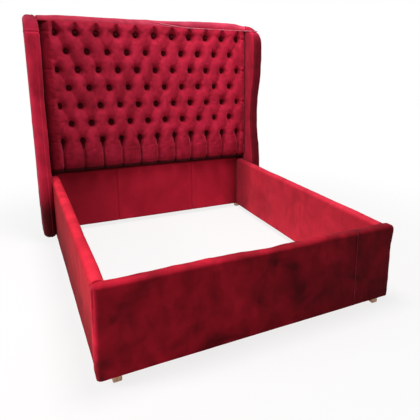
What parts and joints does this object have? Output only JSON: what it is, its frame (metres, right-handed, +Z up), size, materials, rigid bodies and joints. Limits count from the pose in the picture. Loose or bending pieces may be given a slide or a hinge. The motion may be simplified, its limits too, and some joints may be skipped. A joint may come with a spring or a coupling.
{
  "type": "upholstered bed",
  "caption": "Upholstered bed frame with a deep buttoned headboard, curved padded wings, padded side rails and a padded footboard around an open mattress well.",
  "frame": {"origin": "on the floor under the middle of the bed's outer box", "axes": "+X to the right seen from the foot, +Y from the foot to the headboard, +Z up"},
  "size_m": [1.836, 2.145, 1.69],
  "materials": {
    "velvet": "crimson crushed velvet over foam",
    "button_velvet": "buttons covered in the same velvet",
    "back_cloth": "plain dark lining cloth over hardboard",
    "pine": "planed pale softwood, unpainted",
    "softwood": "sawn softwood, unpainted",
    "plywood": "sanded plywood, unpainted",
    "plate_steel": "zinc plated pressed steel",
    "fastener_steel": "zinc plated screws and bolts"
  },
  "bodies": {
    "root": {"foot_back_left": "pine", "foot_back_right": "pine", "foot_front_left": "pine", "foot_front_right": "pine", "foot_screws": "fastener_steel", "footboard_back_board": "plywood", "footboard_bottom_batten": "softwood", "footboard_cover": "velvet", "footboard_front_board": "plywood", "footboard_hook_sockets": "plate_steel", "footboard_studs": "softwood", "footboard_top_batten": "softwood", "headboard_back_panel": "back_cloth", "headboard_bottom_rail": "softwood", "headboard_front_ply": "plywood", "headboard_hook_sockets": "plate_steel", "headboard_left_post": "softwood", "headboard_lower_pad": "velvet", "headboard_lower_stud": "softwood", "headboard_middle_rail": "softwood", "headboard_right_post": "softwood", "headboard_top_rail": "softwood", "headboard_top_roll": "velvet", "headboard_tufted_pad": "velvet", "headboard_upper_stud": "softwood", "plate_screws": "fastener_steel", "rail_left_bottom_batten": "softwood", "rail_left_cover": "velvet", "rail_left_end_blocks": "softwood", "rail_left_hook_plates": "plate_steel", "rail_left_inner_board": "plywood", "rail_left_outer_board": "plywood", "rail_left_top_batten": "softwood", "rail_right_bottom_batten": "softwood", "rail_right_cover": "velvet", "rail_right_end_blocks": "softwood", "rail_right_hook_plates": "plate_steel", "rail_right_inner_board": "plywood", "rail_right_outer_board": "plywood", "rail_right_top_batten": "softwood", "socket_screws": "fastener_steel", "tuft_buttons": "button_velvet", "wing_bolts": "fastener_steel", "wing_left_back_batten": "softwood", "wing_left_cover": "velvet", "wing_left_edge_rib": "softwood", "wing_left_inner_board": "plywood", "wing_left_outer_board": "plywood", "wing_right_back_batten": "softwood", "wing_right_cover": "velvet", "wing_right_edge_rib": "softwood", "wing_right_inner_board": "plywood", "wing_right_outer_board": "plywood", "wing_washers": "fastener_steel"}
  },
  "joints": []
}
